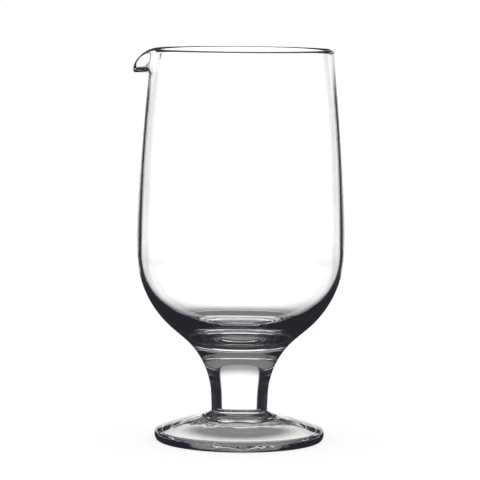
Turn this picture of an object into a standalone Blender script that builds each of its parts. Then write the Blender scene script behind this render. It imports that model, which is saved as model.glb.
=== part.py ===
"""Stemmed mixing glass, built up as hand-worked stemware is: a blown bowl with a pulled pouring lip
stands on a short drawn stem, a collar and a foot, which are joined hot, one on top of another.

Sizes are in millimetres and degrees. The turning axis is Z, the table is the plane Z = 0, and the
lip points to -X. Each profile is a list of (radius, height) points in its own piece's frame.
"""

import math

import bmesh
import bpy

MM = 0.001
WELD = 0.002

# The hot joints between the pieces, drawn as even gaps
SEAM = 0.3

# Foot: a low, slightly crowned bell with a rounded edge, hollow underneath, which stands on a flat ring
FOOT_RADIUS = 38.7
FOOT_HEIGHT = 11.0
FOOT_EDGE_HEIGHT = 5.3
FOOT_WIDEST_HEIGHT = 3.2
FOOT_EDGE_ROUND = 1.7
FOOT_EDGE_TURN = 80.0
FOOT_CROWN = 0.3
STANDING_RING = 1.2
HOLLOW_RADIUS = FOOT_RADIUS - FOOT_EDGE_ROUND - STANDING_RING
HOLLOW_DEPTH = 8.8
HOLLOW_POWER = 2.9

# Collar: the wafer of glass that takes the stem, with a top that is drawn up to it in a hollow curve
COLLAR_RADIUS = 16.6
COLLAR_HEIGHT = 2.0
COLLAR_EDGE = 0.8
COLLAR_EDGE_TURN = 75.0
COLLAR_DISH = 0.25
COLLAR_LEDGE = 0.5
COLLAR_MARGIN = 0.5

# Stem: a tapered shaft that flares out under the bowl and cups its rounded base
STEM_RADIUS = 12.7
SHAFT_LENGTH = 7.9
SHAFT_TAPER = 2.7
CUP_SAG = 3.0

# Bowl: half a sphere below its widest line, and a side that draws in towards the rim above it
BOWL_RADIUS = 47.4
BOWL_SIDE_HEIGHT = 90.8
RIM_RADIUS = 41.6
SHOULDER_ANGLE = 49.6
SHOULDER_LENGTH = 6.9
RIM_WALL = 2.0
BELLY_WALL = 2.1
BASE_THICKNESS = 8.3
BOTTOM_POWER = 2.2
OUTER_SIDE_POWER = 1.6
INNER_SIDE_POWER = 2.1

# Pouring lip: a band of the rim that is folded outwards over a tight bend
LIP_HALF_ANGLE = 20.0
LIP_BAND = 10.8
LIP_REACH = 7.8
LIP_FOLD = 90.0
LIP_BEND_RADIUS = 1.8
LIP_POINT_POWER = 0.8
LIP_DRAW_IN = 0.08
LIP_END = 0.99

# Facets: steps along the profiles and round the axis
BOWL_LIP_COLUMNS = 20
BOWL_SIDE_COLUMNS = 52
STEM_COLUMNS = 36
FOOT_COLUMNS = 48
SIDE_STEPS = 6
SPHERE_STEPS = 6
INSIDE_STEPS = 10
BEND_STEPS = 5
FLAP_STEPS = 2
RIM_STEPS = 4
FLARE_STEPS = 7
SEAT_STEPS = 3
EDGE_STEPS = 3
BELL_STEPS = 4
HOLLOW_STEPS = 9
CREASE_ANGLE = 35.0

CLEAR_GLASS = (0.93, 0.95, 0.95, 1.0)
GLASS_ROUGHNESS = 0.02
GLASS_IOR = 1.52


def shares(steps):
    """Return steps + 1 even shares, from 0 to 1."""
    return [i / steps for i in range(steps + 1)]


def bowed_line(start, end, sag, steps):
    """Return a circular arc from start to end that bows by sag to the left of its chord."""
    chord_r, chord_z = end[0] - start[0], end[1] - start[1]
    half_chord = math.hypot(chord_r, chord_z) / 2
    left_r, left_z = -chord_z / (2 * half_chord), chord_r / (2 * half_chord)
    half_turn = 2 * math.atan(sag / half_chord)
    radius = half_chord / math.sin(half_turn)
    points = []
    for share in shares(steps):
        turn = half_turn * (2 * share - 1)
        along = 0.5 + radius * math.sin(turn) / (2 * half_chord)
        bow = radius * (math.cos(turn) - math.cos(half_turn))
        points.append((start[0] + along * chord_r + bow * left_r, start[1] + along * chord_z + bow * left_z))
    return points


def ellipse(centre, radius, height, first, last, steps):
    """Return an elliptical arc about centre, from the first to the last angle in degrees above +R."""
    angles = [math.radians(first + (last - first) * share) for share in shares(steps)]
    return [(centre[0] + radius * math.cos(a), centre[1] + height * math.sin(a)) for a in angles]


def fuller_arc(radius, depth, power, steps):
    """Return an arc from the side down to the axis, fuller than an ellipse where the power is above 2."""
    points = []
    for r, z in ellipse((0, 0), 1, 1, 0, 90, steps):
        points.append((radius * max(r, 0) ** (2 / power), -depth * max(z, 0) ** (2 / power)))
    return points


def cap_radius(edge_radius, sag):
    """Return the radius of the sphere whose cap has this edge radius and this depth."""
    return (edge_radius ** 2 + sag ** 2) / (2 * sag)


def turned(profile, sectors, first_angle=0.0):
    """Spin a profile that starts and ends on the axis about Z, one (degrees, steps) sector at a time."""
    bm = bmesh.new()
    cos_first, sin_first = math.cos(math.radians(first_angle)), math.sin(math.radians(first_angle))
    points = [bm.verts.new((r * cos_first, r * sin_first, z)) for r, z in profile]
    section = points + [bm.edges.new(pair) for pair in zip(points, points[1:])]
    for degrees, steps in sectors:
        spun = bmesh.ops.spin(
            bm, geom=section, cent=(0, 0, 0), axis=(0, 0, 1), angle=math.radians(degrees), steps=steps
        )
        section = spun["geom_last"]
    bmesh.ops.remove_doubles(bm, verts=bm.verts, dist=WELD)
    bmesh.ops.recalc_face_normals(bm, faces=bm.faces)
    return bm


def glass_material(name):
    """Return a clear glass for one piece."""
    material = bpy.data.materials.new(name)
    material.use_nodes = True
    shader = material.node_tree.nodes["Principled BSDF"]
    shader.inputs["Base Color"].default_value = CLEAR_GLASS
    shader.inputs["Metallic"].default_value = 0.0
    shader.inputs["Roughness"].default_value = GLASS_ROUGHNESS
    shader.inputs["IOR"].default_value = GLASS_IOR
    shader.inputs["Transmission Weight"].default_value = 1.0
    return material


def add_piece(name, bm, height, parent):
    """Make the named object from a bmesh in millimetres and stand it at its height on the parent's axis."""
    bmesh.ops.scale(bm, vec=(MM, MM, MM), verts=bm.verts)
    mesh = bpy.data.meshes.new(name)
    bm.to_mesh(mesh)
    bm.free()
    mesh.shade_smooth()
    mesh.set_sharp_from_angle(angle=math.radians(CREASE_ANGLE))
    mesh.materials.append(glass_material(f"{name}_glass"))
    piece = bpy.data.objects.new(name, mesh)
    piece.location.z = height * MM
    piece.parent = parent
    bpy.context.scene.collection.objects.link(piece)
    return piece


def foot_profile():
    """Go from the top of the hollow, over the standing ring and the edge, up the bell to the seat."""
    edge_centre = (FOOT_RADIUS - FOOT_EDGE_ROUND, FOOT_WIDEST_HEIGHT)
    hollow = [
        (HOLLOW_RADIUS * share, HOLLOW_DEPTH * (1 - share ** HOLLOW_POWER)) for share in shares(HOLLOW_STEPS)
    ]
    under_edge = ellipse(edge_centre, FOOT_EDGE_ROUND, FOOT_WIDEST_HEIGHT, -90, 0, EDGE_STEPS)
    over_edge = ellipse(
        edge_centre, FOOT_EDGE_ROUND, FOOT_EDGE_HEIGHT - FOOT_WIDEST_HEIGHT, 0, FOOT_EDGE_TURN, EDGE_STEPS
    )
    seat = (COLLAR_RADIUS + COLLAR_MARGIN, FOOT_HEIGHT)
    bell = bowed_line(over_edge[-1], seat, -FOOT_CROWN, BELL_STEPS)
    return hollow + under_edge + over_edge[1:] + bell[1:] + [(0, FOOT_HEIGHT)]


def collar_profile():
    """Go from the flat underside, round the edge and up the dished top to the stem's seat."""
    edge_centre = (COLLAR_RADIUS - COLLAR_EDGE / 2, COLLAR_EDGE / 2)
    edge = ellipse(edge_centre, COLLAR_EDGE / 2, COLLAR_EDGE / 2, -90, COLLAR_EDGE_TURN, EDGE_STEPS + 1)
    top = bowed_line(edge[-1], (STEM_RADIUS + COLLAR_LEDGE, COLLAR_HEIGHT), COLLAR_DISH, EDGE_STEPS)
    return [(0, 0)] + edge + top[1:] + [(0, COLLAR_HEIGHT)]


def shoulder_direction():
    """Return the unit step up the straight shoulder that joins the stem's flare to the bowl's sphere."""
    return math.sin(math.radians(SHOULDER_ANGLE)), math.cos(math.radians(SHOULDER_ANGLE))


def shaft_top_radius():
    """Return the stem's radius where the tapered shaft ends and the flare begins."""
    return STEM_RADIUS + SHAFT_LENGTH * math.tan(math.radians(SHAFT_TAPER))


def stem_top():
    """Return the top edge of the stem, one shoulder's length below the sphere, and the flare's radius."""
    out, up = shoulder_direction()
    taper = math.radians(SHAFT_TAPER)
    top_radius = BOWL_RADIUS * up - SHOULDER_LENGTH * out
    flare_radius = (top_radius - shaft_top_radius()) / (math.cos(taper) - up)
    top_height = SHAFT_LENGTH + flare_radius * (out - math.sin(taper))
    return top_radius, top_height, flare_radius


def stem_profile():
    """Go from the flat lower end, up the shaft and the flare, and down into the cup."""
    _, _, flare_radius = stem_top()
    taper = math.radians(SHAFT_TAPER)
    centre_r = shaft_top_radius() + flare_radius * math.cos(taper)
    centre_z = SHAFT_LENGTH - flare_radius * math.sin(taper)
    flare = ellipse(
        (centre_r, centre_z), flare_radius, flare_radius, 180 - SHAFT_TAPER, 180 - SHOULDER_ANGLE, FLARE_STEPS
    )
    return [(0, 0), (STEM_RADIUS, 0)] + flare + cup_arc(0)[1:]


def cup_arc(clearance):
    """Return the arc of the cup from the shoulder to the axis, drawn in by a clearance for the bowl."""
    top_radius, top_height, _ = stem_top()
    cup_radius = cap_radius(top_radius, CUP_SAG)
    centre_z = top_height - CUP_SAG + cup_radius
    out, up = shoulder_direction()
    inward = top_radius * out + (top_height - centre_z) * up
    arc_radius = cup_radius - clearance
    climb = -inward - math.sqrt(inward ** 2 - cup_radius ** 2 + arc_radius ** 2)
    edge_angle = math.degrees(math.asin((top_radius + climb * out) / arc_radius))
    return ellipse((0, centre_z), arc_radius, arc_radius, edge_angle - 90, -90, SEAT_STEPS)


def side_point(height, widest, at_rim, power):
    """Return the point at a height above the widest line; the side draws in by a power of the height."""
    share = height / (BOWL_SIDE_HEIGHT - RIM_WALL / 2)
    return widest - (widest - at_rim) * share ** power, height


def outer_side(height):
    """Return the outer face's point at a height above the bowl's widest line."""
    return side_point(height, BOWL_RADIUS, RIM_RADIUS, OUTER_SIDE_POWER)


def inner_side(height):
    """Return the inner face's point at a height above the bowl's widest line."""
    return side_point(height, BOWL_RADIUS - BELLY_WALL, RIM_RADIUS - RIM_WALL, INNER_SIDE_POWER)


def bowl_height():
    """Return the height of the bowl's widest line above the stem's lower end."""
    out, up = shoulder_direction()
    _, top_height, _ = stem_top()
    return top_height + SHOULDER_LENGTH * up + BOWL_RADIUS * out


def lip_lengths():
    """Return the lengths of the bend and of the straight flap beyond it, at the middle of the lip."""
    fold = math.radians(LIP_FOLD)
    flap = (LIP_REACH - LIP_BEND_RADIUS * (1 - math.cos(fold))) / math.sin(fold)
    return LIP_BEND_RADIUS * fold, flap


def lip_bend_height():
    """Return the height of the bend within the lip's band, before the band is folded."""
    bend, flap = lip_lengths()
    return LIP_BAND * bend / (bend + flap)


def bowl_profile():
    """Go from the base over the sphere and the side to the rim, and down the inside to the axis."""
    lift = bowl_height()
    base = [(r, z - lift) for r, z in reversed(cup_arc(SEAM))]
    sphere = ellipse((0, 0), BOWL_RADIUS, BOWL_RADIUS, -SHOULDER_ANGLE, 0, SPHERE_STEPS)
    rim_height = BOWL_SIDE_HEIGHT - RIM_WALL / 2
    fold_height = rim_height - LIP_BAND
    bend_top = fold_height + lip_bend_height()
    heights = [fold_height * share for share in shares(SIDE_STEPS)]
    heights += [fold_height + (bend_top - fold_height) * share for share in shares(BEND_STEPS)[1:]]
    heights += [bend_top + (rim_height - bend_top) * share for share in shares(FLAP_STEPS)[1:]]
    outside = [outer_side(height) for height in heights]
    rim_centre = (RIM_RADIUS - RIM_WALL / 2, rim_height)
    rim = ellipse(rim_centre, RIM_WALL / 2, RIM_WALL / 2, 0, 180, RIM_STEPS)
    inside = [inner_side(height) for height in reversed(heights)]
    depth = BOWL_RADIUS - BASE_THICKNESS
    bottom = fuller_arc(BOWL_RADIUS - BELLY_WALL, depth, BOTTOM_POWER, INSIDE_STEPS)
    return base + sphere + outside[1:] + rim[1:-1] + inside + bottom[1:]


def fold_lip(bm):
    """Fold the rim's band outwards on the -X side, most at the lip's middle and not at all at its ends."""
    fold_height = BOWL_SIDE_HEIGHT - RIM_WALL / 2 - LIP_BAND
    bend_height = lip_bend_height()
    for vert in bm.verts:
        above = vert.co.z - fold_height
        aside = math.degrees(abs(math.atan2(vert.co.y, -vert.co.x)))
        if above <= 0 or aside > LIP_HALF_ANGLE * LIP_END:
            continue
        radius = math.hypot(vert.co.x, vert.co.y)
        height = min(vert.co.z, BOWL_SIDE_HEIGHT - RIM_WALL / 2)
        middle = (outer_side(height)[0] + inner_side(height)[0]) / 2
        strength = math.cos(math.radians(90 * (aside / LIP_HALF_ANGLE) ** LIP_POINT_POWER)) ** 2
        fold = math.radians(LIP_FOLD) * strength
        stretch = 1 + (sum(lip_lengths()) / LIP_BAND - 1) * strength
        stretch -= LIP_DRAW_IN * strength * (1 - strength)
        bend_radius = bend_height * stretch / fold
        turn = fold * min(above / bend_height, 1)
        flap = max(above - bend_height, 0) * stretch
        off_middle = radius - middle
        reach = bend_radius * (1 - math.cos(turn)) + flap * math.sin(turn) + off_middle * math.cos(turn)
        rise = bend_radius * math.sin(turn) + flap * math.cos(turn) - off_middle * math.sin(turn)
        new_radius = middle + reach
        vert.co.x *= new_radius / radius
        vert.co.y *= new_radius / radius
        vert.co.z = fold_height + rise


for old in list(bpy.data.objects):
    bpy.data.objects.remove(old, do_unlink=True)

glass = bpy.data.objects.new("mixing_glass", None)
bpy.context.scene.collection.objects.link(glass)

round_foot = [(360, FOOT_COLUMNS)]
round_stem = [(360, STEM_COLUMNS)]
lip_sector = [(2 * LIP_HALF_ANGLE, BOWL_LIP_COLUMNS), (360 - 2 * LIP_HALF_ANGLE, BOWL_SIDE_COLUMNS)]

collar_stand = FOOT_HEIGHT + SEAM
stem_stand = collar_stand + COLLAR_HEIGHT + SEAM
bowl_stand = stem_stand + bowl_height()

add_piece("foot", turned(foot_profile(), round_foot), 0, glass)
add_piece("collar", turned(collar_profile(), round_stem), collar_stand, glass)
add_piece("stem", turned(stem_profile(), round_stem), stem_stand, glass)

bowl_form = turned(bowl_profile(), lip_sector, first_angle=180 - LIP_HALF_ANGLE)
fold_lip(bowl_form)
add_piece("bowl", bowl_form, bowl_stand, glass)
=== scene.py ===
"""Stemmed mixing glass: the finished surfaces of its four pieces of clear glass, in a plain white studio.

Sizes are in millimetres and degrees unless a name says otherwise. The frame gives the heights of the seams,
the turning axis is Z, the floor is the plane Z = 0, and the pouring lip points to -X.
"""

import math

import bpy
import numpy as np
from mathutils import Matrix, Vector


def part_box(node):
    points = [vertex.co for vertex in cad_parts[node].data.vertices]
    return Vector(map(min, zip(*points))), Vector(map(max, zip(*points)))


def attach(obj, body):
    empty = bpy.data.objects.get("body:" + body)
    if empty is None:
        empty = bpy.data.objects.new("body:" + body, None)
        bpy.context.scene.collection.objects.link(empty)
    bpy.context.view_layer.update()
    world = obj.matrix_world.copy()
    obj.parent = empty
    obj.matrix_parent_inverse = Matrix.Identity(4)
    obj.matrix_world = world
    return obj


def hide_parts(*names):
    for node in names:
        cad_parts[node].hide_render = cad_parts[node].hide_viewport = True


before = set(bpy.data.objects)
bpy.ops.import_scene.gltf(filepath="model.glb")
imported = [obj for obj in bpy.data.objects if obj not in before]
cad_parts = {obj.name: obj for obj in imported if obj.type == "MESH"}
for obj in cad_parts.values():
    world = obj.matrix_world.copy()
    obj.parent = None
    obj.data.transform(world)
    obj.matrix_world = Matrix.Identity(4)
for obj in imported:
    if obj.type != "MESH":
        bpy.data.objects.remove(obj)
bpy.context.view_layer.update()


# Foot: a low bell of clear glass, dropped hot under the collar and pressed out to a round with a paddle.
# Its edge is rounded by the fire. Underneath it is hollow nearly up to the collar and stands on a flat ring.
MM = 0.001
SEAM = 0.3
foot_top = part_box("foot")[1]
FOOT_RADIUS = foot_top.x / MM
FOOT_HEIGHT = foot_top.z / MM + SEAM / 2
FOOT_EDGE_HEIGHT = 5.3
FOOT_WIDEST_HEIGHT = 3.2
FOOT_EDGE_ROUND = 1.7
FOOT_EDGE_TURN = 80.0
FOOT_CROWN = 0.3
FOOT_SEAT_RADIUS = 17.1
HOLLOW_RADIUS = 35.8
HOLLOW_DEPTH = 8.8
HOLLOW_POWER = 2.9
HOLLOW_STEPS = 32
STANDING_RING_STEPS = 4
EDGE_STEPS = 16
BELL_STEPS = 32
SEAT_STEPS = 2
ROUND_COLUMNS = 240
CREASE_ANGLE = 30.0
GLASS_COLOUR = (1, 1, 1, 1)
GLASS_IOR = 1.52
# Painted glow: every glass face glows faintly violet, so that light caught in the glass by mirroring shows
# dim instead of black.
GLASS_PAINTED_GLOW = (0.85, 0.84, 1.15, 1)
GLASS_PAINTED_GLOW_LEVEL = 0.003
NOISE_DETAIL = 1.0
ABOVE_GLASS = (200.0, 300.0)
FOOT_FINISH = {
    "ripple_scale": 160.0,
    "ripple_height": 0.12,
    "ring_scale": 220.0,
    "ring_share": 0.3,
    "dullest": 0.012,
}


def line(start, end, steps):
    """Points (radius, height) at even steps along a straight line, as an array of steps + 1 rows."""
    share = np.linspace(0, 1, steps + 1)[:, None]
    return np.array(start) * (1 - share) + np.array(end) * share


def arc(centre, radius, height, first, last, steps):
    """Points of an elliptical arc: the centre plus radius times cosine and height times sine of an angle."""
    angle = np.radians(np.linspace(first, last, steps + 1))
    return np.stack([centre[0] + radius * np.cos(angle), centre[1] + height * np.sin(angle)], axis=1)


def bowed(start, end, sag, steps):
    """Points of a circular arc over the chord from start to end, which bows by sag to the chord's left."""
    start, end = np.array(start), np.array(end)
    half_chord = np.linalg.norm(end - start) / 2
    along = (end - start) / (2 * half_chord)
    left = np.array([-along[1], along[0]])
    half_turn = 2 * math.atan(sag / half_chord)
    radius = half_chord / math.sin(half_turn)
    turn = np.linspace(-half_turn, half_turn, steps + 1)[:, None]
    return (start + end) / 2 + radius * (np.sin(turn) * along + (np.cos(turn) - math.cos(half_turn)) * left)


def hollow(radius, depth, power, steps):
    """Points from the axis out to a hollow's edge: the depth less a power of the radius's share."""
    share = np.linspace(0, 1, steps + 1)
    return np.stack([radius * share, depth * (1 - share ** power)], axis=1)


def even_angles(columns):
    """Angles of the columns of a piece that is alike all round."""
    return np.linspace(0, 2 * math.pi, columns, endpoint=False)


def round_grid(profile, angles):
    """The same profile at every angle, as one array of radii and one of heights."""
    return np.repeat(profile[:, :1], len(angles), axis=1), np.repeat(profile[:, 1:], len(angles), axis=1)


def joint_rows(profile, first_steps, last_steps):
    """Rows where the faces of a profile's first and last steps start, which are its hot joints."""
    end = len(profile) - 1
    return np.concatenate([np.arange(first_steps), np.arange(end - last_steps, end)])


def turned_piece(name, radius, height, angles, weld_rows, glass):
    """Make a turned solid: point (i, j) stands at radius[i, j] and height[i, j] on the ray at angles[j].

    The first and the last row are the poles on the axis, and the last column joins the first. The faces
    that start at the rows in weld_rows are the hot joints to the next piece, where nothing is seen.
    """
    rows, columns = radius.shape
    rings = np.stack([radius * np.cos(angles), radius * np.sin(angles), height], axis=2)[1:-1]
    poles = np.array([[[0, 0, height[0, 0]]], [[0, 0, height[-1, 0]]]])
    points = np.concatenate([poles[0], rings.reshape(-1, 3), poles[1]]) * MM
    index = 1 + np.arange((rows - 2) * columns).reshape(rows - 2, columns)
    beside = np.roll(index, -1, axis=1)
    last = len(points) - 1
    quads = np.stack([index[:-1], beside[:-1], beside[1:], index[1:]], axis=2).reshape(-1, 4)
    start_fan = np.stack([np.zeros(columns, int), beside[0], index[0]], axis=1)
    end_fan = np.stack([index[-1], beside[-1], np.full(columns, last)], axis=1)
    face_rows = np.repeat(np.arange(rows - 1), columns)
    mesh = bpy.data.meshes.new(name)
    mesh.from_pydata(points.tolist(), [], start_fan.tolist() + quads.tolist() + end_fan.tolist())
    mesh.materials.append(glass)
    mesh.materials.append(hot_joint)
    mesh.polygons.foreach_set("material_index", np.isin(face_rows, weld_rows).astype(np.int32))
    mesh.shade_smooth()
    mesh.set_sharp_from_angle(angle=math.radians(CREASE_ANGLE))
    piece = bpy.data.objects.new(name, mesh)
    bpy.context.scene.collection.objects.link(piece)
    return piece


def hand_worked_surface():
    """A node group for glass that was shaped hot: soft ripples all over, and faint rings about the axis.

    The ripples are a noise of the place. The rings are a noise of the distance from the axis and the height,
    so they are alike all round. The relief is a mix of both, and fades to nothing between two heights, above
    which the glass is calm. The polish is a little duller in the hollows.
    """
    group = bpy.data.node_groups.new("hand_worked_surface", "ShaderNodeTree")
    for name in ("Ripple Scale", "Ring Scale", "Ring Share", "Dullest", "Calm From", "Calm To"):
        group.interface.new_socket(name, in_out="INPUT", socket_type="NodeSocketFloat")
    for name in ("Height", "Roughness"):
        group.interface.new_socket(name, in_out="OUTPUT", socket_type="NodeSocketFloat")
    nodes, join = group.nodes, group.links.new
    given = nodes.new("NodeGroupInput").outputs
    place = nodes.new("ShaderNodeTexCoord").outputs["Object"]
    ripple = nodes.new("ShaderNodeTexNoise")
    ripple.inputs["Detail"].default_value = NOISE_DETAIL
    join(place, ripple.inputs["Vector"])
    join(given["Ripple Scale"], ripple.inputs["Scale"])
    flat = nodes.new("ShaderNodeVectorMath")
    flat.operation = "MULTIPLY"
    flat.inputs[1].default_value = (1, 1, 0)
    join(place, flat.inputs[0])
    reach = nodes.new("ShaderNodeVectorMath")
    reach.operation = "LENGTH"
    join(flat.outputs["Vector"], reach.inputs[0])
    axes = nodes.new("ShaderNodeSeparateXYZ")
    join(place, axes.inputs[0])
    around = nodes.new("ShaderNodeCombineXYZ")
    join(reach.outputs["Value"], around.inputs["X"])
    join(axes.outputs["Z"], around.inputs["Y"])
    ring = nodes.new("ShaderNodeTexNoise")
    ring.noise_dimensions = "2D"
    ring.inputs["Detail"].default_value = NOISE_DETAIL
    join(around.outputs[0], ring.inputs["Vector"])
    join(given["Ring Scale"], ring.inputs["Scale"])
    both = nodes.new("ShaderNodeMix")
    join(given["Ring Share"], both.inputs["Factor"])
    join(ripple.outputs["Fac"], both.inputs["A"])
    join(ring.outputs["Fac"], both.inputs["B"])
    calm = nodes.new("ShaderNodeMapRange")
    join(axes.outputs["Z"], calm.inputs["Value"])
    join(given["Calm From"], calm.inputs["From Min"])
    join(given["Calm To"], calm.inputs["From Max"])
    calm.inputs["To Min"].default_value = 1.0
    calm.inputs["To Max"].default_value = 0.0
    faded = nodes.new("ShaderNodeMath")
    faded.operation = "MULTIPLY"
    join(both.outputs["Result"], faded.inputs[0])
    join(calm.outputs["Result"], faded.inputs[1])
    polish = nodes.new("ShaderNodeMapRange")
    join(ripple.outputs["Fac"], polish.inputs["Value"])
    join(given["Dullest"], polish.inputs["To Min"])
    polish.inputs["To Max"].default_value = 0.0
    put = nodes.new("NodeGroupOutput").inputs
    join(faded.outputs["Value"], put["Height"])
    join(polish.outputs["Result"], put["Roughness"])
    return group


worked = hand_worked_surface()


def clear_glass(name, ripple_scale, ripple_height, ring_scale, ring_share, dullest, calm=ABOVE_GLASS):
    """A clear glass whose surface carries ripples and rings, up to where it turns calm between two heights.

    The scales are noise scales per metre. The ripple height and the calm heights are in millimetres. Calm
    heights above the whole glass leave the relief as it is.
    """
    material = bpy.data.materials.new(name)
    material.use_nodes = True
    nodes, join = material.node_tree.nodes, material.node_tree.links.new
    shader = nodes["Principled BSDF"]
    shader.inputs["Base Color"].default_value = GLASS_COLOUR
    shader.inputs["Metallic"].default_value = 0.0
    shader.inputs["IOR"].default_value = GLASS_IOR
    shader.inputs["Transmission Weight"].default_value = 1.0
    # The glass's faint violet painted glow.
    shader.inputs["Emission Color"].default_value = GLASS_PAINTED_GLOW
    shader.inputs["Emission Strength"].default_value = GLASS_PAINTED_GLOW_LEVEL
    surface = nodes.new("ShaderNodeGroup")
    surface.node_tree = worked
    surface.inputs["Ripple Scale"].default_value = ripple_scale
    surface.inputs["Ring Scale"].default_value = ring_scale
    surface.inputs["Ring Share"].default_value = ring_share
    surface.inputs["Dullest"].default_value = dullest
    surface.inputs["Calm From"].default_value = calm[0] * MM
    surface.inputs["Calm To"].default_value = calm[1] * MM
    bump = nodes.new("ShaderNodeBump")
    bump.inputs["Strength"].default_value = 1.0
    bump.inputs["Distance"].default_value = ripple_height * MM
    join(surface.outputs["Height"], bump.inputs["Height"])
    join(bump.outputs["Normal"], shader.inputs["Normal"])
    join(surface.outputs["Roughness"], shader.inputs["Roughness"])
    return material


def weld_glass():
    """The inside of a hot joint, where glass runs into glass and nothing is seen."""
    material = bpy.data.materials.new("hot_joint")
    material.use_nodes = True
    material.node_tree.nodes["Principled BSDF"].inputs["Alpha"].default_value = 0.0
    return material


hot_joint = weld_glass()
round_angles = even_angles(ROUND_COLUMNS)
foot_edge_centre = (FOOT_RADIUS - FOOT_EDGE_ROUND, FOOT_WIDEST_HEIGHT)
foot_over_height = FOOT_EDGE_HEIGHT - FOOT_WIDEST_HEIGHT
foot_hollow = hollow(HOLLOW_RADIUS, HOLLOW_DEPTH, HOLLOW_POWER, HOLLOW_STEPS)
foot_ring = line((HOLLOW_RADIUS, 0), (foot_edge_centre[0], 0), STANDING_RING_STEPS)
foot_under = arc(foot_edge_centre, FOOT_EDGE_ROUND, FOOT_WIDEST_HEIGHT, -90, 0, EDGE_STEPS)
foot_over = arc(foot_edge_centre, FOOT_EDGE_ROUND, foot_over_height, 0, FOOT_EDGE_TURN, EDGE_STEPS)
foot_bell = bowed(foot_over[-1], (FOOT_SEAT_RADIUS, FOOT_HEIGHT), -FOOT_CROWN, BELL_STEPS)
foot_seat = line((FOOT_SEAT_RADIUS, FOOT_HEIGHT), (0, FOOT_HEIGHT), SEAT_STEPS)
foot_profile = np.concatenate([
    foot_hollow,
    foot_ring[1:],
    foot_under[1:],
    foot_over[1:],
    foot_bell[1:],
    foot_seat[1:],
])
foot = turned_piece(
    "foot_glass",
    *round_grid(foot_profile, round_angles),
    round_angles,
    joint_rows(foot_profile, 0, SEAT_STEPS),
    clear_glass("foot_glass", **FOOT_FINISH),
)
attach(foot, "root")
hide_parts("foot")


# Collar: a wafer of clear glass between the foot and the stem, squeezed flat while hot.
# Its edge stands a little proud of the foot's bell, and its top slopes up to the stem.
collar_low, collar_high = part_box("collar")
COLLAR_RADIUS = collar_high.x / MM
COLLAR_BOTTOM = collar_low.z / MM - SEAM / 2
COLLAR_TOP = collar_high.z / MM + SEAM / 2
COLLAR_EDGE = 0.8
COLLAR_EDGE_TURN = 75.0
COLLAR_DISH = 0.25
COLLAR_SLOPE_STEPS = 12
STEM_RADIUS = 12.7
COLLAR_FINISH = {
    "ripple_scale": 90.0,
    "ripple_height": 0.05,
    "ring_scale": 150.0,
    "ring_share": 0.4,
    "dullest": 0.012,
}

collar_edge_centre = (COLLAR_RADIUS - COLLAR_EDGE / 2, COLLAR_BOTTOM + COLLAR_EDGE / 2)
collar_edge = arc(collar_edge_centre, COLLAR_EDGE / 2, COLLAR_EDGE / 2, -90, COLLAR_EDGE_TURN, EDGE_STEPS)
collar_under = line((0, COLLAR_BOTTOM), collar_edge[0], SEAT_STEPS)
collar_slope = bowed(collar_edge[-1], (STEM_RADIUS, COLLAR_TOP), COLLAR_DISH, COLLAR_SLOPE_STEPS)
collar_seat = line((STEM_RADIUS, COLLAR_TOP), (0, COLLAR_TOP), SEAT_STEPS)
collar_profile = np.concatenate([collar_under, collar_edge[1:], collar_slope[1:], collar_seat[1:]])
collar = turned_piece(
    "collar_glass",
    *round_grid(collar_profile, round_angles),
    round_angles,
    joint_rows(collar_profile, SEAT_STEPS, SEAT_STEPS),
    clear_glass("collar_glass", **COLLAR_FINISH),
)
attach(collar, "root")
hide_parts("collar")


# Stem: a short post of clear glass, drawn down from a gather stuck to the bowl's base.
# It tapers a little, then flares out under the bowl and cups it, so that the outline runs on smoothly.
STEM_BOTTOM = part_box("stem")[0].z / MM
BOWL_RADIUS = 47.4
SHOULDER_ANGLE = 49.6
SHOULDER_LENGTH = 6.9
SHAFT_LENGTH = 7.9
SHAFT_TAPER = 2.7
CUP_SAG = 3.0
SHAFT_STEPS = 12
FLARE_STEPS = 60
CUP_STEPS = 8
STEM_FINISH = {
    "ripple_scale": 120.0,
    "ripple_height": 0.03,
    "ring_scale": 200.0,
    "ring_share": 0.2,
    "dullest": 0.006,
}


def cap(edge, sag, steps):
    """Points of a spherical cap from the axis out to its edge point, where it has risen by sag."""
    sphere_radius = (edge[0] ** 2 + sag ** 2) / (2 * sag)
    edge_turn = math.degrees(math.asin(edge[0] / sphere_radius))
    return arc((0, edge[1] - sag + sphere_radius), sphere_radius, sphere_radius, -90, edge_turn - 90, steps)


shoulder_out = math.sin(math.radians(SHOULDER_ANGLE))
shoulder_up = math.cos(math.radians(SHOULDER_ANGLE))
taper_out = math.sin(math.radians(SHAFT_TAPER))
taper_up = math.cos(math.radians(SHAFT_TAPER))
shaft_top = STEM_BOTTOM + SHAFT_LENGTH
shaft_top_radius = STEM_RADIUS + SHAFT_LENGTH * taper_out / taper_up
stem_edge_radius = BOWL_RADIUS * shoulder_up - SHOULDER_LENGTH * shoulder_out
flare_radius = (stem_edge_radius - shaft_top_radius) / (taper_up - shoulder_up)
flare_centre = (shaft_top_radius + flare_radius * taper_up, shaft_top - flare_radius * taper_out)
stem_edge_height = shaft_top + flare_radius * (shoulder_out - taper_out)
stem_foot = line((0, COLLAR_TOP), (STEM_RADIUS, COLLAR_TOP), SEAT_STEPS)
stem_shaft = line((STEM_RADIUS, COLLAR_TOP), (shaft_top_radius, shaft_top), SHAFT_STEPS)
flare_turn = (180 - SHAFT_TAPER, 180 - SHOULDER_ANGLE)
stem_flare = arc(flare_centre, flare_radius, flare_radius, *flare_turn, FLARE_STEPS)
stem_cup = cap(stem_flare[-1], CUP_SAG, CUP_STEPS)[::-1]
stem_profile = np.concatenate([stem_foot, stem_shaft[1:], stem_flare[1:], stem_cup[1:]])
stem = turned_piece(
    "stem_glass",
    *round_grid(stem_profile, round_angles),
    round_angles,
    joint_rows(stem_profile, SEAT_STEPS, CUP_STEPS),
    clear_glass("stem_glass", **STEM_FINISH),
)
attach(stem, "root")
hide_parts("stem")


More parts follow.
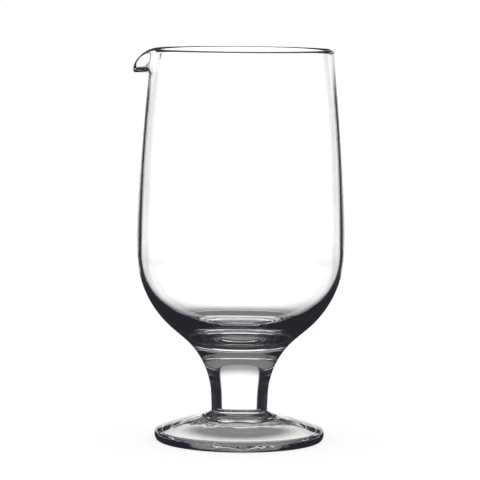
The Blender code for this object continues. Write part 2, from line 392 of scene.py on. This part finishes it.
# Bowl: a bubble of clear glass, blown in a mould, cracked off and fire polished to a full round rim.
# It is thick at the base and thin at the side, and a band of the rim is folded out to a pouring lip.
BOWL_SIDE_HEIGHT = 90.8
RIM_RADIUS = 41.6
RIM_WALL = 2.0
RIM_ROUND = 1.8
BELLY_WALL = 2.1
BASE_THICKNESS = 8.3
BOTTOM_POWER = 2.2
OUTER_SIDE_POWER = 1.6
INNER_SIDE_POWER = 2.1
LIP_HALF_ANGLE = 20.0
LIP_BAND = 10.8
LIP_REACH = 7.8
LIP_FOLD = 90.0
LIP_BEND_RADIUS = 1.8
LIP_POINT_POWER = 0.8
LIP_DRAW_IN = 0.08
LIP_END = 0.995
LIP_COLUMNS = 100
SIDE_COLUMNS = 200
SHOULDER_STEPS = 8
SPHERE_STEPS = 44
SIDE_STEPS = 36
LIP_BAND_STEPS = 40
RIM_STEPS = 24
BOTTOM_STEPS = 64
BOWL_FINISH = {
    "ripple_scale": 90.0,
    "ripple_height": 0.04,
    "ring_scale": 150.0,
    "ring_share": 0.3,
    "dullest": 0.006,
    "calm": (55.0, 80.0),
}

belly = stem_edge_height + SHOULDER_LENGTH * shoulder_up + BOWL_RADIUS * shoulder_out
side_height = BOWL_SIDE_HEIGHT - RIM_WALL / 2
fold_height = side_height - LIP_BAND
lip_bend = LIP_BEND_RADIUS * math.radians(LIP_FOLD)
lip_flap = LIP_REACH - LIP_BEND_RADIUS
bend_height = LIP_BAND * lip_bend / (lip_bend + lip_flap)


def side_radius(height, widest, at_rim, power):
    """The side's radius above the belly: the widest less a power of the height's share of the side."""
    return widest - (widest - at_rim) * np.clip(height / side_height, 0, 1) ** power


def outer_side(height):
    """Radius of the outer face."""
    return side_radius(height, BOWL_RADIUS, RIM_RADIUS, OUTER_SIDE_POWER)


def inner_side(height):
    """Radius of the inner face."""
    return side_radius(height, BOWL_RADIUS - BELLY_WALL, RIM_RADIUS - RIM_WALL, INNER_SIDE_POWER)


def fuller_arc(radius, depth, power, steps):
    """Points from the side down to the axis: the powers of their shares of radius and depth add to one."""
    angle = np.radians(np.linspace(0, 90, steps + 1))
    return np.stack([radius * np.cos(angle) ** (2 / power), -depth * np.sin(angle) ** (2 / power)], axis=1)


def fold_lip(radius, height, angles):
    """Fold the rim's band outwards round -X, over a bend and a flap that fade to nothing at the lip's ends.

    At each angle the fold is LIP_FOLD times a squared cosine. A point that was so far above the fold line
    goes as far round the bend, then on along the flap. It keeps its distance from the wall's middle.
    """
    aside = np.degrees(np.abs(np.angle(np.exp(1j * (angles - math.pi)))))
    in_lip = aside < LIP_HALF_ANGLE * LIP_END
    share = np.where(in_lip, aside / LIP_HALF_ANGLE, LIP_END)
    strength = np.cos(np.radians(90 * share ** LIP_POINT_POWER)) ** 2
    fold = math.radians(LIP_FOLD) * strength
    stretch = 1 + ((lip_bend + lip_flap) / LIP_BAND - 1) * strength - LIP_DRAW_IN * strength * (1 - strength)
    above = height - fold_height
    middle = (outer_side(height) + inner_side(height)) / 2
    turn = fold * np.clip(above / bend_height, 0, 1)
    bend_radius = bend_height * stretch / fold
    flap = np.clip(above - bend_height, 0, None) * stretch
    off_middle = radius - middle
    reach = bend_radius * (1 - np.cos(turn)) + flap * np.sin(turn) + off_middle * np.cos(turn)
    rise = bend_radius * np.sin(turn) + flap * np.cos(turn) - off_middle * np.sin(turn)
    folded = (above > 0) & in_lip
    return np.where(folded, middle + reach, radius), np.where(folded, fold_height + rise, height)


bowl_cup = cap((stem_edge_radius, stem_edge_height - belly), CUP_SAG, CUP_STEPS)
shoulder = line(bowl_cup[-1], (BOWL_RADIUS * shoulder_up, -BOWL_RADIUS * shoulder_out), SHOULDER_STEPS)
sphere = arc((0, 0), BOWL_RADIUS, BOWL_RADIUS, -SHOULDER_ANGLE, 0, SPHERE_STEPS)
rim_start = BOWL_SIDE_HEIGHT - RIM_ROUND
side_heights = np.concatenate([
    np.linspace(0, fold_height, SIDE_STEPS + 1),
    np.linspace(fold_height, rim_start, LIP_BAND_STEPS + 1)[1:],
])
outside = np.stack([outer_side(side_heights), side_heights], axis=1)
inside = np.stack([inner_side(side_heights), side_heights], axis=1)[::-1]
rim_middle = (outer_side(rim_start) + inner_side(rim_start)) / 2
rim_half_wall = (outer_side(rim_start) - inner_side(rim_start)) / 2
rim = arc((rim_middle, rim_start), rim_half_wall, RIM_ROUND, 0, 180, RIM_STEPS)
bottom = fuller_arc(BOWL_RADIUS - BELLY_WALL, BOWL_RADIUS - BASE_THICKNESS, BOTTOM_POWER, BOTTOM_STEPS)
bowl_profile = np.concatenate([
    bowl_cup,
    shoulder[1:],
    sphere[1:],
    outside[1:],
    rim[1:-1],
    inside,
    bottom[1:],
])
lip_edge = math.radians(180 - LIP_HALF_ANGLE)
bowl_angles = np.concatenate([
    np.linspace(lip_edge, 2 * math.pi - lip_edge, LIP_COLUMNS, endpoint=False),
    np.linspace(2 * math.pi - lip_edge, 2 * math.pi + lip_edge, SIDE_COLUMNS, endpoint=False),
])
bowl_radius, bowl_height = fold_lip(*round_grid(bowl_profile, bowl_angles), bowl_angles)
bowl = turned_piece(
    "bowl_glass",
    bowl_radius,
    bowl_height + belly,
    bowl_angles,
    joint_rows(bowl_profile, CUP_STEPS, 0),
    clear_glass("bowl_glass", **BOWL_FINISH),
)
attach(bowl, "root")
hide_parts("bowl")


# Floor: a plain white sheet of paper that runs out of the picture on every side.
# It keeps the glass's soft shadow. The glass itself shows the studio and the shaded table in its place.
FLOOR_HALF_WIDTH_M = 6.0
FLOOR_COLOUR = (0.3, 0.3, 0.3, 1)
FLOOR_GLOW = 0.74
WHITE = (1, 1, 1, 1)

floor_mesh = bpy.data.meshes.new("floor")
floor_corners = FLOOR_HALF_WIDTH_M * np.array([[-1, -1, 0], [1, -1, 0], [1, 1, 0], [-1, 1, 0]])
floor_mesh.from_pydata(floor_corners.tolist(), [], [[0, 1, 2, 3]])
floor = bpy.data.objects.new("floor", floor_mesh)
bpy.context.scene.collection.objects.link(floor)
floor.visible_transmission = False
floor.visible_glossy = False
floor_paper = bpy.data.materials.new("floor_paper")
floor_paper.use_nodes = True
floor_shader = floor_paper.node_tree.nodes["Principled BSDF"]
floor_shader.inputs["Base Color"].default_value = FLOOR_COLOUR
floor_shader.inputs["Roughness"].default_value = 1.0
floor_shader.inputs["Specular IOR Level"].default_value = 0.0
floor_shader.inputs["Emission Color"].default_value = WHITE
floor_shader.inputs["Emission Strength"].default_value = FLOOR_GLOW
floor_mesh.materials.append(floor_paper)


# Shaded table: a hidden glowing disc of painted shade just under the floor, standing for the round of table
# under the glass, seen only through the foot.
# Straight through, it is grey in the middle, a painted shadow where the glass keeps the light off, and white
# further out.
# In the mirror of the foot's faces its outer part is dark, a painted dark reflection, which draws the dark
# ends of the foot.
TABLE_RADIUS = 55.0
TABLE_DEPTH = 0.1
TABLE_POINTS = 64
TABLE_MIDDLE_LEVEL = 0.25
TABLE_OUTER_LEVEL = 1.0
TABLE_FADE = (18.0, 31.0)
TABLE_MIRROR_FROM = 20.0
TABLE_MIRROR_LEVEL = 0.03
AT_LEAST_ONE = 0.5


def node_tools(tree):
    """Short ways to add nodes to a tree: any node, a sum, a smooth step between two edges, a mix of two."""

    def feed(socket, value):
        if isinstance(value, bpy.types.NodeSocket):
            tree.links.new(value, socket)
        else:
            socket.default_value = value

    def node(kind, **settings):
        made = tree.nodes.new(kind)
        for name, setting in settings.items():
            setattr(made, name, setting)
        return made

    def math_node(operation, *values):
        made = node("ShaderNodeMath", operation=operation)
        for socket, value in zip(made.inputs, values):
            feed(socket, value)
        return made.outputs[0]

    def between(value, edges, start, end):
        made = node("ShaderNodeMapRange", interpolation_type="SMOOTHSTEP")
        feed(made.inputs["Value"], value)
        for name, number in zip(("From Min", "From Max", "To Min", "To Max"), (*edges, start, end)):
            feed(made.inputs[name], number)
        return made.outputs[0]

    def mixed(share, first, second, kind="FLOAT"):
        made = node("ShaderNodeMix", data_type=kind)
        used = [socket for socket in made.inputs if socket.enabled]
        for socket, value in zip(used, (share, first, second)):
            feed(socket, value)
        return next(socket for socket in made.outputs if socket.enabled)

    return node, math_node, between, mixed


def painted_table_shadow():
    """A glowing disc of painted shade: its level is a smooth step of the distance from the axis, and dark to
    mirrored rays.
    """
    material = bpy.data.materials.new("painted_table_shadow")
    material.use_nodes = True
    tree = material.node_tree
    node, math_node, between, mixed = node_tools(tree)
    shader = tree.nodes["Principled BSDF"]
    shader.inputs["Base Color"].default_value = (0, 0, 0, 1)
    shader.inputs["Specular IOR Level"].default_value = 0.0
    shader.inputs["Emission Color"].default_value = WHITE
    length = node("ShaderNodeVectorMath", operation="LENGTH")
    tree.links.new(node("ShaderNodeTexCoord").outputs["Object"], length.inputs[0])
    reach = math_node("DIVIDE", length.outputs["Value"], MM)
    # Painted shadow: grey in the middle, white further out.
    straight = between(reach, TABLE_FADE, TABLE_MIDDLE_LEVEL, TABLE_OUTER_LEVEL)
    mirrors = node("ShaderNodeLightPath").outputs["Glossy Depth"]
    mirrored = math_node("GREATER_THAN", mirrors, AT_LEAST_ONE)
    # Painted dark reflection: mirrored rays see the outer part dark.
    dark = math_node("MULTIPLY", mirrored, math_node("GREATER_THAN", reach, TABLE_MIRROR_FROM))
    tree.links.new(mixed(dark, straight, TABLE_MIRROR_LEVEL), shader.inputs["Emission Strength"])
    return material


table_angles = even_angles(TABLE_POINTS)
table_points = np.stack([
    TABLE_RADIUS * np.cos(table_angles),
    TABLE_RADIUS * np.sin(table_angles),
    np.full(TABLE_POINTS, -TABLE_DEPTH),
], axis=1)
table_mesh = bpy.data.meshes.new("shaded_table")
table_mesh.from_pydata((table_points * MM).tolist(), [], [list(range(TABLE_POINTS))])
table_mesh.materials.append(painted_table_shadow())
table = bpy.data.objects.new("shaded_table", table_mesh)
bpy.context.scene.collection.objects.link(table)
table.visible_camera = False
table.visible_diffuse = False
table.visible_shadow = False


# Studio: plain white light all round for the floor and the picture, and a built room for the glass alone.
# Straight through the glass the room is white, with dark gaps at a slant, a dim ceiling and a dim low part.
# In a mirrored face it is dark, with one white screen behind the glass, its wings, and pale flanks.
SCREEN_LEVEL = 1.18
CEILING_LEVEL = 0.4
CEILING_EDGE = (10.0, 30.0)
STRIP_LEVEL = 1.4
STRIP_EDGE = (-7.2, -5.6)
LOW_LEVEL = 0.2
LOW_EDGE = (-34.0, -17.0)
LOW_FOOT = (-72.0, -62.0)
GAP_LEVEL = 0.02
GAP_SIDE_EDGE = (9.0, 14.0)
GAP_FRONT_EDGE = (60.0, 64.0)
GAP_FOOT = (-12.0, -10.0)
SHADE_LEVEL = 0.03
SHADE_COLOUR = (0.85, 0.84, 1.15, 1)
SHADE_REACH = (0.0, 0.12)
SCREEN_EDGE = (14.0, 22.0)
SCREEN_TOP = (9.0, 13.0)
SCREEN_FOOT = (-11.0, -7.0)
WING_EDGE = (32.0, 45.0)
WING_FOOT = (1.0, 4.0)
FLANK_LEVEL = 0.9
FLANK_EDGE = (36.0, 42.0)
FLANK_TOP = (2.0, 6.0)
FLANK_FOOT = (-50.0, -35.0)
FLANK_FRONT_FOOT = (-13.0, -4.0)
UP_LEVEL = 0.2
UP_EDGE = (15.0, 30.0)
SIDEWAYS = 90.0
MORE_THAN_TWO = 2.5


def studio_world():
    """The room's level, by the height and the angle from +Y of the way that a ray leaves, both in degrees.

    Each zone of the room is a product of smooth steps of the two angles, mixed over the zones before it.
    Light Path counts the faces that a ray was mirrored by and went through. That tells a mirrored ray from a
    straight one, and the two walls of the bowl, which have four faces, from solid glass, which has two.
    """
    world = bpy.data.worlds.new("studio")
    world.use_nodes = True
    tree = world.node_tree
    tree.nodes.clear()
    node, math_node, between, mixed = node_tools(tree)

    path = node("ShaderNodeLightPath").outputs
    way = node("ShaderNodeSeparateXYZ")
    tree.links.new(node("ShaderNodeTexCoord").outputs["Generated"], way.inputs[0])
    height = math_node("DEGREES", math_node("ARCSINE", way.outputs["Z"]))
    turn = math_node("DEGREES", math_node("ARCTAN2", way.outputs["X"], way.outputs["Y"]))
    aside = math_node("ABSOLUTE", turn)
    off_side = math_node("ABSOLUTE", math_node("SUBTRACT", aside, SIDEWAYS))
    off_front_face = math_node("LESS_THAN", path["Transmission Depth"], AT_LEAST_ONE)
    through_bowl = math_node("GREATER_THAN", path["Transmission Depth"], MORE_THAN_TWO)
    through_solid = math_node("LESS_THAN", path["Transmission Depth"], MORE_THAN_TWO)

    def product(*values):
        result = values[0]
        for value in values[1:]:
            result = math_node("MULTIPLY", result, value)
        return result

    screen_top = between(height, SCREEN_TOP, 1, 0)
    screen = product(between(aside, SCREEN_EDGE, 1, 0), screen_top, between(height, SCREEN_FOOT, 0, 1))
    wings = product(between(aside, WING_EDGE, 1, 0), screen_top, between(height, WING_FOOT, 0, 1))
    flank_place = between(aside, FLANK_EDGE, 0, FLANK_LEVEL)
    flank_height = product(between(height, FLANK_TOP, 1, 0), between(height, FLANK_FOOT, 0, 1))
    flank_front = product(off_front_face, between(height, FLANK_FRONT_FOOT, 0, 1))
    flanks = product(flank_place, flank_height, math_node("MAXIMUM", through_bowl, flank_front))
    pale = math_node("MAXIMUM", math_node("MAXIMUM", screen, wings), flanks)
    reflected = mixed(pale, SHADE_LEVEL, SCREEN_LEVEL)
    reflected = mixed(between(height, UP_EDGE, 0, 1), reflected, UP_LEVEL)

    straight = between(height, CEILING_EDGE, SCREEN_LEVEL, CEILING_LEVEL)
    straight = mixed(between(height, STRIP_EDGE, 1, 0), straight, STRIP_LEVEL)
    low = product(between(height, LOW_EDGE, 1, 0), between(height, LOW_FOOT, 0, 1), through_bowl)
    straight = mixed(low, straight, LOW_LEVEL)
    slant = product(between(off_side, GAP_SIDE_EDGE, 0, 1), between(off_side, GAP_FRONT_EDGE, 1, 0))
    gap = product(slant, between(height, GAP_FOOT, 0, 1), through_solid)
    straight = mixed(gap, straight, GAP_LEVEL)

    mirrored = math_node("GREATER_THAN", path["Glossy Depth"], AT_LEAST_ONE)
    seen = mixed(mirrored, straight, reflected)
    glassy = math_node("MAXIMUM", path["Is Transmission Ray"], path["Is Glossy Ray"])
    tint = mixed(between(seen, SHADE_REACH, 0, 1), SHADE_COLOUR, WHITE, "RGBA")
    light = node("ShaderNodeBackground")
    tree.links.new(mixed(glassy, 1.0, seen), light.inputs["Strength"])
    tree.links.new(mixed(glassy, WHITE, tint, "RGBA"), light.inputs["Color"])
    tree.links.new(light.outputs[0], node("ShaderNodeOutputWorld").inputs["Surface"])
    return world


bpy.context.scene.world = studio_world()
bpy.context.scene.view_settings.view_transform = "Standard"


# Camera: a long lens, a little above the glass and turned by half a degree.
# It stands on the -Y side and looks at the middle of the glass.
CAMERA_DISTANCE = 1330.0
CAMERA_RISE = 5.5
CAMERA_ROLL = 0.49
CAMERA_AIM_X = -0.336
CAMERA_AIM_HEIGHT = 91.44
CAMERA_LENS = 219.66
CAMERA_SENSOR = 36.0
CAMERA_CLIP_M = (0.01, 50.0)

camera_data = bpy.data.cameras.new("camera")
camera_data.lens = CAMERA_LENS
camera_data.sensor_width = CAMERA_SENSOR
camera_data.clip_start, camera_data.clip_end = CAMERA_CLIP_M
camera = bpy.data.objects.new("camera", camera_data)
bpy.context.scene.collection.objects.link(camera)
camera_rise = math.radians(CAMERA_RISE)
camera.location = (
    CAMERA_AIM_X * MM,
    -CAMERA_DISTANCE * math.cos(camera_rise) * MM,
    (CAMERA_AIM_HEIGHT + CAMERA_DISTANCE * math.sin(camera_rise)) * MM,
)
camera.rotation_euler = (math.radians(90 - CAMERA_RISE), 0, 0)
camera.rotation_euler.rotate_axis("Z", math.radians(CAMERA_ROLL))
bpy.context.scene.camera = camera
